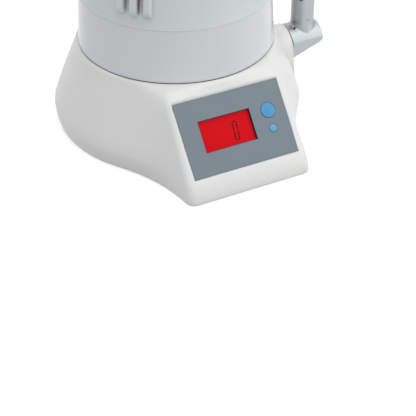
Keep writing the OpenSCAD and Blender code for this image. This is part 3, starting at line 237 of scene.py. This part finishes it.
# ---------------------------------------------------------------- underside
# A white plate closes the base from below, held by four screws. A ring foot
# and two round feet in black rubber keep it from sliding on the counter.
def plated(name, shade, roughness, brush_mm):
    """Plated or turned metal: a soft sheen, with faint marks along the way it was finished."""
    cloud_mm, cloud_depth = 20, 0.9
    mark_stretch, mark_share = (1, 1, 0.06), 0.2
    mark_bump, mark_depth, edge_mm = 0.05, 0.0001, 0.4
    material, tree, shader, place = principled(name)
    tint = clouded(tree, place, shade, cloud_mm, cloud_depth)
    along = add_node(tree, "Mapping", {"Vector": place, "Scale": mark_stretch}).outputs[0]
    marks = noise(tree, along, brush_mm, octaves=3)
    tree.links.new(tint, shader.inputs["Base Color"])
    tree.links.new(varied(tree, marks, roughness, mark_share), shader.inputs["Roughness"])
    tree.links.new(relief(tree, marks, mark_bump, mark_depth, edge_mm), shader.inputs["Normal"])
    shader.inputs["Metallic"].default_value = 1.0
    return material


rubber = moulded("black_moulded_rubber", "#26282A", roughness=0.72, grain_mm=0.8, bump=0.12)
zinc = plated("zinc_plated_steel", "#A9AEB2", roughness=0.34, brush_mm=0.4)
finish_nodes(white_abs, "base_plate", "battery_cap")
finish_nodes(rubber, "rubber_feet")
finish_nodes(zinc, "base_screws")


# ---------------------------------------------------------------- battery
# A coin cell lies under a locking cap in the plate, in a black holder with
# two sprung brass contacts. Red leads run from them to the circuit board.
black_abs = moulded("black_moulded_ABS", "#2E3134", roughness=0.42, grain_mm=0.6)
brass = plated("turned_brass", "#C9A557", roughness=0.28, brush_mm=0.3)
nickel = plated("nickel_plated_can", "#C2C5C6", roughness=0.24, brush_mm=0.5)
red_pvc = moulded("red_PVC_insulation", "#A32020", roughness=0.5, grain_mm=0.4)
finish_nodes(black_abs, "battery_holder")
finish_nodes(brass, "battery_contacts")
finish_nodes(nickel, "coin_cell")
finish_nodes(red_pvc, "battery_leads")


# ---------------------------------------------------------------- circuit board
# A glass fibre board under green solder mask stands on posts behind the
# sloping face. It carries the display's frame, two switches and the chip.
mask, tree, shader, place = principled("green_solder_mask")
# Tracks about 1 mm wide, seen as darker bands under the lacquer
track_pattern = 0.004
tracks = add_node(tree, "TexBrick", {"Vector": place, "Scale": 1 / track_pattern,
                                     "Mortar Size": 0.02,
                                     "Color1": linear("#1F5B33"), "Color2": linear("#246639"),
                                     "Mortar": linear("#174728")})
tree.links.new(tracks.outputs["Color"], shader.inputs["Base Color"])
shader.inputs["Roughness"].default_value = 0.32
natural_pp = moulded("natural_polypropylene", "#DCDFDA", roughness=0.4, grain_mm=0.6)
finish_nodes(mask, "circuit_board")
finish_nodes(natural_pp, "display_carrier")
finish_nodes(zinc, "board_screws")
finish_nodes(black_abs, "tact_switches", "control_chip")


# ---------------------------------------------------------------- fascia
# A printed polycarbonate plate in slate grey lies in a shallow recess of the
# sloping face. Its matt front has the fine even grain of such a film.
film, tree, shader, place = principled("matt_printed_polycarbonate")
cloud = noise(tree, place, size_mm=20, octaves=4)
tint = mixed(tree, cloud, linear("#707B85"), linear("#69757F"))
# Grain of 0.1 mm, drawn at 0.4 mm so that it shows
grain = noise(tree, place, size_mm=0.4, octaves=2)
tree.links.new(tint, shader.inputs["Base Color"])
tree.links.new(varied(tree, grain, middle=0.5, share=0.12), shader.inputs["Roughness"])
tree.links.new(relief(tree, grain, strength=0.1, depth=0.0002, edge_mm=0.2),
               shader.inputs["Normal"])
shader.inputs["IOR"].default_value = 1.58
finish_nodes(film, "fascia_panel")


# ---------------------------------------------------------------- display
# A liquid crystal display with a red backlight lies behind the window. Its
# digits are dark segments in the glass; one reads nought.
glass, tree, shader, place = principled("red_backlit_display_glass")
# The backlight's light guide is slightly uneven over about 15 mm
guide = noise(tree, place, size_mm=15, octaves=1)
tree.links.new(mixed(tree, guide, linear("#CC0B17"), linear("#C00A14")),
               shader.inputs["Emission Color"])
shader.inputs["Emission Strength"].default_value = 0.68
shader.inputs["Base Color"].default_value = linear("#8E0810")
shader.inputs["Roughness"].default_value = 0.3
shader.inputs["Specular IOR Level"].default_value = 0.05
finish_nodes(glass, "display_panel")

# Frame of the sloping face: across, up the slope, and out of the face
face_middle, face_slope = (0, -0.0767863, 0.0295336), radians(49.013)
face = Matrix.Translation(face_middle) @ Matrix.Rotation(face_slope, 4, "X")


def wall_up(thickness, height):
    """Turns the flat outline in edit mode into a wall that stands on it."""
    bpy.ops.mesh.inset(thickness=thickness, depth=0)
    bpy.ops.mesh.delete(type="FACE")
    bpy.ops.mesh.select_all(action="SELECT")
    bpy.ops.mesh.extrude_region_move(TRANSFORM_OT_translate={"value": (0, 0, height)})
    bpy.ops.mesh.select_all(action="SELECT")
    bpy.ops.mesh.normals_make_consistent(inside=False)
    bpy.ops.object.mode_set(mode="OBJECT")


# A black foam gasket lines the window down to the glass and keeps dust out
window_w, window_h, window_deep = 0.03194, 0.01794, 0.0021
window_across, window_up, foam_wall = -0.0053, 0.0002, 0.0002
black_foam = moulded("black_foam_gasket", "#131415", roughness=0.8, grain_mm=0.5, edge_mm=0.1)
bpy.ops.object.select_all(action="DESELECT")
bpy.ops.mesh.primitive_plane_add(size=1)
gasket = bpy.context.object
gasket.name = gasket.data.name = "window_gasket"
bpy.ops.object.mode_set(mode="EDIT")
bpy.ops.transform.resize(value=(window_w, window_h, 1))
wall_up(foam_wall, window_deep)
gasket.data.transform(face @ Matrix.Translation((window_across, window_up, -window_deep)))
gasket.data.materials.append(black_foam)
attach(gasket, "base")

# The digit leans to the right, as such digits do
stroke, digit_w, digit_h, ink_deep = 0.00065, 0.0024, 0.0104, 0.00004
digit_at, digit_lean = (0.0003, -0.0008, -0.00215), 0.07
bar_gap, bar_round = stroke * 0.9, stroke * 0.42
segment_ink = moulded("dark_liquid_crystal", "#3A0508", roughness=0.35, grain_mm=0.3, edge_mm=0.05)
segment_ink.node_tree.nodes["Principled BSDF"].inputs["Specular IOR Level"].default_value = 0.1
lean = Matrix(((1, digit_lean, 0, 0), (0, 1, 0, 0), (0, 0, 1, 0), (0, 0, 0, 1)))
digit = Matrix.Translation(digit_at) @ lean
# Each bar: its middle across and up, its length, and whether it is upright
bars = [(0, digit_h / 2, digit_w, False), (0, -digit_h / 2, digit_w, False)]
for side in (-1, 1):
    bars += [(side * digit_w / 2, end * digit_h / 4, digit_h / 2, True) for end in (-1, 1)]


def joined(pieces, name, finish):
    """One piece of the base out of several meshes, in one material."""
    bpy.ops.object.select_all(action="DESELECT")
    for piece in pieces:
        piece.select_set(True)
    bpy.context.view_layer.objects.active = pieces[0]
    bpy.ops.object.join()
    whole = bpy.context.object
    whole.name = whole.data.name = name
    whole.data.materials.append(finish)
    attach(whole, "base")


segments = []
for across, up, length, upright in bars:
    bpy.ops.object.select_all(action="DESELECT")
    bpy.ops.mesh.primitive_cube_add(size=1)
    bar = bpy.context.object
    bpy.ops.object.mode_set(mode="EDIT")
    reach = length - bar_gap
    extent = (stroke, reach, ink_deep) if upright else (reach, stroke, ink_deep)
    bpy.ops.transform.resize(value=extent)
    bpy.ops.mesh.select_all(action="DESELECT")
    bpy.ops.mesh.select_mode(type="EDGE")
    bpy.ops.object.mode_set(mode="OBJECT")
    for edge in bar.data.edges:
        a, b = (bar.data.vertices[i].co for i in edge.vertices)
        edge.select = abs(a.z - b.z) > ink_deep / 2
    bpy.ops.object.mode_set(mode="EDIT")
    bpy.ops.mesh.bevel(offset=bar_round, segments=2, affect="EDGES")
    bpy.ops.object.mode_set(mode="OBJECT")
    bar.data.transform(face @ digit @ Matrix.Translation((across, up, 0)))
    segments.append(bar)
joined(segments, "display_digit", segment_ink)


# ---------------------------------------------------------------- buttons
# Two domed push buttons in blue ABS come through the fascia: a large one for
# the reading, and a small paler one that resets the count.
blue_abs = moulded("blue_moulded_ABS", "#3F92C6", roughness=0.3, grain_mm=0.5)
pale_abs = moulded("pale_blue_moulded_ABS", "#58A2CA", roughness=0.3, grain_mm=0.5)
smooth_copy("display_button", "display_button_cap", angle=50, finish=blue_abs,
            body="display_button")
smooth_copy("reset_button", "reset_button_cap", angle=50, finish=pale_abs,
            body="reset_button")

# A lip of grey silicone closes the gap round each button against splashes
grey_silicone = moulded("grey_silicone_lip", "#69747E", roughness=0.5, grain_mm=0.4, edge_mm=0.1)
button_across, button_places = 0.0216, ((0.0052, 0.0043), (-0.0052, 0.00225))
lip_over, lip_wall, lip_h, lip_sunk = 0.00029, 0.00026, 0.0005, 0.00047
lips = []
for up, reach in button_places:
    bpy.ops.object.select_all(action="DESELECT")
    bpy.ops.mesh.primitive_circle_add(vertices=72, radius=reach + lip_over, fill_type="NGON")
    lip = bpy.context.object
    bpy.ops.object.mode_set(mode="EDIT")
    wall_up(lip_wall, lip_h)
    lip.data.transform(face @ Matrix.Translation((button_across, up, -lip_sunk)))
    lips.append(lip)
joined(lips, "button_lips", grey_silicone)


# ---------------------------------------------------------------- water path
# A push-fit inlet at the back leads through a small turbine flow meter and
# clear hoses to the filter head, and from there to the spout.
hose_pvc, tree, shader, place = principled("clear_PVC_hose")
haze = noise(tree, place, size_mm=6, octaves=2)
tint = mixed(tree, haze, linear("#D6DFE3"), linear("#C6D1D6"))
tree.links.new(tint, shader.inputs["Base Color"])
shader.inputs["Roughness"].default_value = 0.25
shader.inputs["Transmission Weight"].default_value = 0.35
finish_nodes(hose_pvc, "inlet_hose", "outlet_hose")
finish_nodes(black_abs, "inlet_fitting", "flow_sensor")
finish_nodes(natural_pp, "inlet_collet", "flow_meter_body", "flow_meter_cap", "flow_turbine")
finish_nodes(rubber, "inlet_seal")
finish_nodes(zinc, "turbine_axle", "hose_clamps")
finish_nodes(red_pvc, "sensor_lead")
finish_nodes(brass, "block_nut")


# ---------------------------------------------------------------- filter head and cartridge
# A natural polypropylene head with a threaded spigot is screwed to the base.
# The cartridge stands in it: a pressed carbon block in a slotted sleeve.
grit_mm, grit_bump, grit_depth = 0.8, 0.5, 0.0003
carbon, tree, shader, place = principled("pressed_carbon")
grit = add_node(tree, "TexVoronoi", {"Vector": place, "Scale": 1000 / grit_mm}).outputs["Distance"]
tint = mixed(tree, grit, linear("#1A1C1E"), linear("#2C2E30"))
rough = add_node(tree, "Bump", {"Strength": grit_bump, "Distance": grit_depth, "Height": grit})
tree.links.new(tint, shader.inputs["Base Color"])
tree.links.new(rough.outputs[0], shader.inputs["Normal"])
shader.inputs["Roughness"].default_value = 0.85
finish_nodes(carbon, "cartridge_core")
finish_nodes(natural_pp, "filter_head", "cartridge_sleeve", "cartridge_top_cap",
             "cartridge_bottom_cap")
finish_nodes(zinc, "head_screws")
finish_nodes(rubber, "cartridge_seals", "canister_seal")


# ---------------------------------------------------------------- canister
# The canister is two round mouldings in pale grey ABS: a skirt that stands
# on the base, and a tall dome with four groups of rounded grip ribs.
def lathe(name, outline, steps):
    """Draws an outline of (radius, height) in millimetres point by point, and spins it."""
    weld = 0.000002
    bpy.ops.object.select_all(action="DESELECT")
    # The first point is a small plane, merged
    bpy.ops.mesh.primitive_plane_add(size=0.002)
    piece = bpy.context.object
    piece.name = piece.data.name = name
    bpy.ops.object.mode_set(mode="EDIT")
    bpy.ops.mesh.select_mode(type="VERT")
    bpy.ops.mesh.select_all(action="SELECT")
    bpy.ops.mesh.merge(type="CENTER")
    at = (0, 0)
    for step, (r, z) in enumerate(outline):
        move = ((r - at[0]) / 1000, 0, (z - at[1]) / 1000)
        if step:
            bpy.ops.mesh.extrude_vertices_move(TRANSFORM_OT_translate={"value": move})
        else:
            bpy.ops.transform.translate(value=move)
        at = (r, z)
    bpy.ops.mesh.select_all(action="SELECT")
    bpy.ops.mesh.remove_doubles(threshold=weld)
    bpy.ops.mesh.spin(steps=steps, angle=2 * pi, center=(0, 0, 0), axis=(0, 0, 1))
    bpy.ops.mesh.select_all(action="SELECT")
    bpy.ops.mesh.remove_doubles(threshold=weld)
    bpy.ops.mesh.normals_make_consistent(inside=False)
    bpy.ops.object.mode_set(mode="OBJECT")
    bpy.ops.object.shade_smooth_by_angle(angle=radians(38))
    return piece


# The sizes of these two mouldings are in millimetres, and a point is (radius, height)
grey_abs = moulded("grey_moulded_ABS", "#DBDEE1", roughness=0.16, grain_mm=0.5)
skirt_z, parting_z, skirt_r, skirt_taper, skirt_hollow = 52.0, 83.0, 57.9, 1.8, 0.4
skirt_wall, lip_r, lip_z, skirt_foot = 2.4, 52.2, 79.8, (57.45, skirt_z)


def skirt_out(z):
    """The skirt's outer radius: a taper, slightly hollow."""
    u = (z - skirt_z) / (parting_z - skirt_z)
    return skirt_r - skirt_taper * (u + skirt_hollow * u * (1 - u))


outline = [skirt_foot, (57.75, 52.12), (57.87, 52.45)]
outline += [(skirt_out(z), z) for z in range(54, 83, 2)]
outline += [(skirt_r - skirt_taper, parting_z), (lip_r, parting_z), (lip_r, lip_z)]
outline += [(skirt_out(z) - skirt_wall, z) for z in (lip_z, 74, 68, 62, 56, skirt_z)]
outline += [skirt_foot]
skirt = lathe("canister_skirt_moulding", outline, steps=240)
skirt.data.materials.append(grey_abs)
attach(skirt, "canister")
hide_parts("canister_skirt")

# A dark ring, in the black rubber finish, lies on the base's rim under the skirt and fills the gap:
# it is painted shade, and shows as a dark line
outline = [(56.2, 51.5), (57.55, 51.5), (57.66, 51.62), (57.66, 51.86), (57.55, 51.97),
           (56.2, 51.97), (56.2, 51.5)]
gap_shade_ring = lathe("skirt_gap_shade_ring", outline, steps=180)
gap_shade_ring.data.materials.append(rubber)
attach(gap_shade_ring, "base")

dome_r, taper, taper_z, taper_run = 44.8, 10.4, 85.0, 60
flare, flare_z, flare_run = 0.6, 83.1, 6


def dome_out(z):
    """The dome's outer radius: a long taper, with a short flare at its foot."""
    return dome_r + taper * exp((taper_z - z) / taper_run) + flare * exp((flare_z - z) / flare_run)


# The outline runs from the crown down the outside, up the threaded mouth and the inside
shoulder_z, round_r, crown_h, dome_wall = 300.8, 8, 1.2, 3.4
spigot_r, mouth_r, mouth_z = 52.1, 47.9, 56.7
thread_r, thread_half, thread_flat, threads = 46.7, 1.2, 0.4, (62.2, 67.2, 72.2)
heights = [83.2, 84, 85, 86.5, 88, *range(89, 100), *range(105, 165, 6), *range(165, 176)]
heights += [178, 182, *range(190, 300, 10), shoulder_z]
corner = dome_out(shoulder_z) - round_r
outline = [(r, shoulder_z + round_r + crown_h * (1 - (r / corner) ** 2)) for r in (0, 8, 16, 24, 31)]
outline += [(corner + round_r * cos(a), shoulder_z + round_r * sin(a))
            for a in (radians(d) for d in range(90, 0, -10))]
outline += [(dome_out(z), z) for z in reversed(heights)]
outline += [(56.16, 83.06), (56.08, 83.02), (spigot_r, 83.02), (spigot_r, mouth_z)]
outline += [(mouth_r, mouth_z)]
for ridge in threads:
    outline += [(mouth_r, ridge - thread_half), (thread_r, ridge - thread_flat),
                (thread_r, ridge + thread_flat), (mouth_r, ridge + thread_half)]
outline += [(mouth_r, 76.0)]
outline += [(dome_out(z) - dome_wall, z) for z in (84, 100, 120, 145, 175, 210, 255, shoulder_z)]
inner_r = round_r - dome_wall
outline += [(corner + inner_r * cos(a), shoulder_z + inner_r * sin(a))
            for a in (radians(d) for d in (25, 50, 75, 90))]
outline += [(18, 306.2), (0, 306.6)]
dome = lathe("canister_dome_moulding", outline, steps=720)

# The ribs are drawn out of the dome's wall, three to a group: broad and
# round-shouldered across, and faded at both ends
rib_low, rib_high, rib_side, rib_height = 89.0, 175.0, 2.35, 3.6
rib_step, rib_fade, rib_shoulder, rib_r = 7.1, 5, 5, 49.55
rib_turn, quarter = radians(49), pi / 2
for vertex in dome.data.vertices:
    r, z = hypot(vertex.co.x, vertex.co.y) * 1000, vertex.co.z * 1000
    if not rib_low < z < rib_high or abs(r - dome_out(z)) > 0.05:
        continue
    around = atan2(vertex.co.y, vertex.co.x) + rib_turn
    off = ((around + quarter / 2) % quarter - quarter / 2) * rib_r
    off -= rib_step * max(-1, min(1, round(off / rib_step)))
    end = min(1, (z - rib_low) / rib_fade, (rib_high - z) / rib_fade)
    rise = rib_height * sqrt(max(0, 1 - abs(off / rib_side) ** rib_shoulder))
    rise *= 1 - (1 - end) ** 2
    vertex.co.x *= 1 + rise / r
    vertex.co.y *= 1 + rise / r
bpy.ops.object.shade_smooth_by_angle(angle=radians(55))

# The dome's batch is a shade cooler, and its narrow rib valleys get painted shade, darker the more
# closed in they are
valley, shade_from, shade_to = 0.006, 0.3, 0.68
dome_abs = moulded("cool_grey_moulded_ABS", "#D4D9DC", roughness=0.14, grain_mm=0.5)
tree = dome_abs.node_tree
shader = tree.nodes["Principled BSDF"]
unshaded_tint = shader.inputs["Base Color"].links[0].from_socket
open_sky = add_node(tree, "AmbientOcclusion", {"Distance": valley}, samples=12)
unshaded_share = add_node(tree, "MapRange", {"Value": open_sky.outputs["AO"], "From Min": shade_from,
                                    "From Max": shade_to})
# The deep grey is painted shade, mixed in where little of the open sky is seen
shaded_valleys = mixed(tree, unshaded_share.outputs["Result"], linear("#33373A"), unshaded_tint)
tree.links.new(shaded_valleys, shader.inputs["Base Color"])
dome.data.materials.append(dome_abs)
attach(dome, "canister")
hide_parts("canister_dome")


# ---------------------------------------------------------------- spout
# A satin chromed zinc block is bolted to the collar over a rubber gasket. The
# bent tube turns in its socket, kept by a black screw, and ends in an aerator.
satin_chrome = plated("satin_chrome_plate", "#B0B5B8", roughness=0.4, brush_mm=0.6)
grey_gasket = moulded("grey_moulded_gasket", "#565A5C", roughness=0.6, grain_mm=0.5)
foot = smooth_copy("spout_block", "spout_foot", angle=60, finish=satin_chrome, body="base")
# The foot is a casting: its edges and the root of its socket are slightly rounded
cast = foot.modifiers.new("cast_skin", "REMESH")
cast.mode = "VOXEL"
cast.voxel_size = 0.00032
cast.use_smooth_shade = True
polish = foot.modifiers.new("polish", "SMOOTH")
polish.factor = 0.5
polish.iterations = 4
for skin in ("cast_skin", "polish"):
    bpy.ops.object.modifier_apply(modifier=skin)
bpy.ops.object.shade_smooth()

# The tube is drawn round the swivel's axis, up to the bend, round it and on to its tail
swivel_x, tube_r, tube_wall, tube_foot = 0.0866, 0.0055, 0.0012, 0.0615
bend_z, bend_r, bend_turn = 0.1865, 0.0555, radians(158)
rise_steps, bend_steps, tail_steps, tail_step = 8, 64, 2, 0.01
tail = Vector((sin(bend_turn), 0, cos(bend_turn)))
bpy.ops.object.select_all(action="DESELECT")
bpy.ops.mesh.primitive_circle_add(vertices=56, radius=tube_r)
tube = bpy.context.object
tube.name = tube.data.name = "spout_gooseneck"
bpy.ops.object.mode_set(mode="EDIT")
bpy.ops.mesh.select_all(action="SELECT")
bpy.ops.transform.translate(value=(swivel_x, 0, tube_foot))
rise = (0, 0, (bend_z - tube_foot) / rise_steps)
for step in range(rise_steps):
    bpy.ops.mesh.extrude_region_move(TRANSFORM_OT_translate={"value": rise})
bpy.ops.mesh.spin(steps=bend_steps, angle=bend_turn, center=(swivel_x + bend_r, 0, bend_z),
                  axis=(0, -1, 0))
for step in range(tail_steps):
    bpy.ops.mesh.extrude_region_move(TRANSFORM_OT_translate={"value": tail * tail_step})
bpy.ops.mesh.select_all(action="SELECT")
bpy.ops.mesh.remove_doubles(threshold=0.00001)
bpy.ops.mesh.normals_make_consistent(inside=False)
bpy.ops.object.mode_set(mode="OBJECT")
wall = tube.modifiers.new("tube_wall", "SOLIDIFY")
wall.thickness = tube_wall
wall.offset = -1
bpy.ops.object.modifier_apply(modifier="tube_wall")
bpy.ops.object.shade_smooth_by_angle(angle=radians(40))
tube.data.materials.append(satin_chrome)
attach(tube, "spout")
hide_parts("spout_tube")

# The aerator is turned: a nut over the tube's end, a narrow waist and a tapering barrel
aerator_on = 0.014
outline = [(5.6, 0), (6.8, 0), (7.6, 0.8), (7.6, 5.2), (6.8, 6), (6.8, 7.2), (8.1, 7.7), (8.2, 8.0),
           (7.05, 39.5), (6.85, 40), (5.4, 40), (5.4, 38), (5.8, 38), (5.8, 7), (5.6, 7), (5.6, 0)]
aerator = lathe("aerator_barrel", outline, steps=72)
bend_end = Vector((swivel_x + bend_r * (1 - cos(bend_turn)), 0, bend_z + bend_r * sin(bend_turn)))
along_tail = Matrix.Rotation(bend_turn, 4, "Y")
aerator.data.transform(Matrix.Translation(bend_end + tail * aerator_on) @ along_tail)
aerator.data.materials.append(satin_chrome)
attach(aerator, "spout")
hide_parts("aerator_body")
finish_nodes(grey_gasket, "spout_gasket")
finish_nodes(rubber, "socket_screw", "spout_o_rings", "aerator_washer")
finish_nodes(brass, "spout_ferrule")
finish_nodes(natural_pp, "aerator_insert")
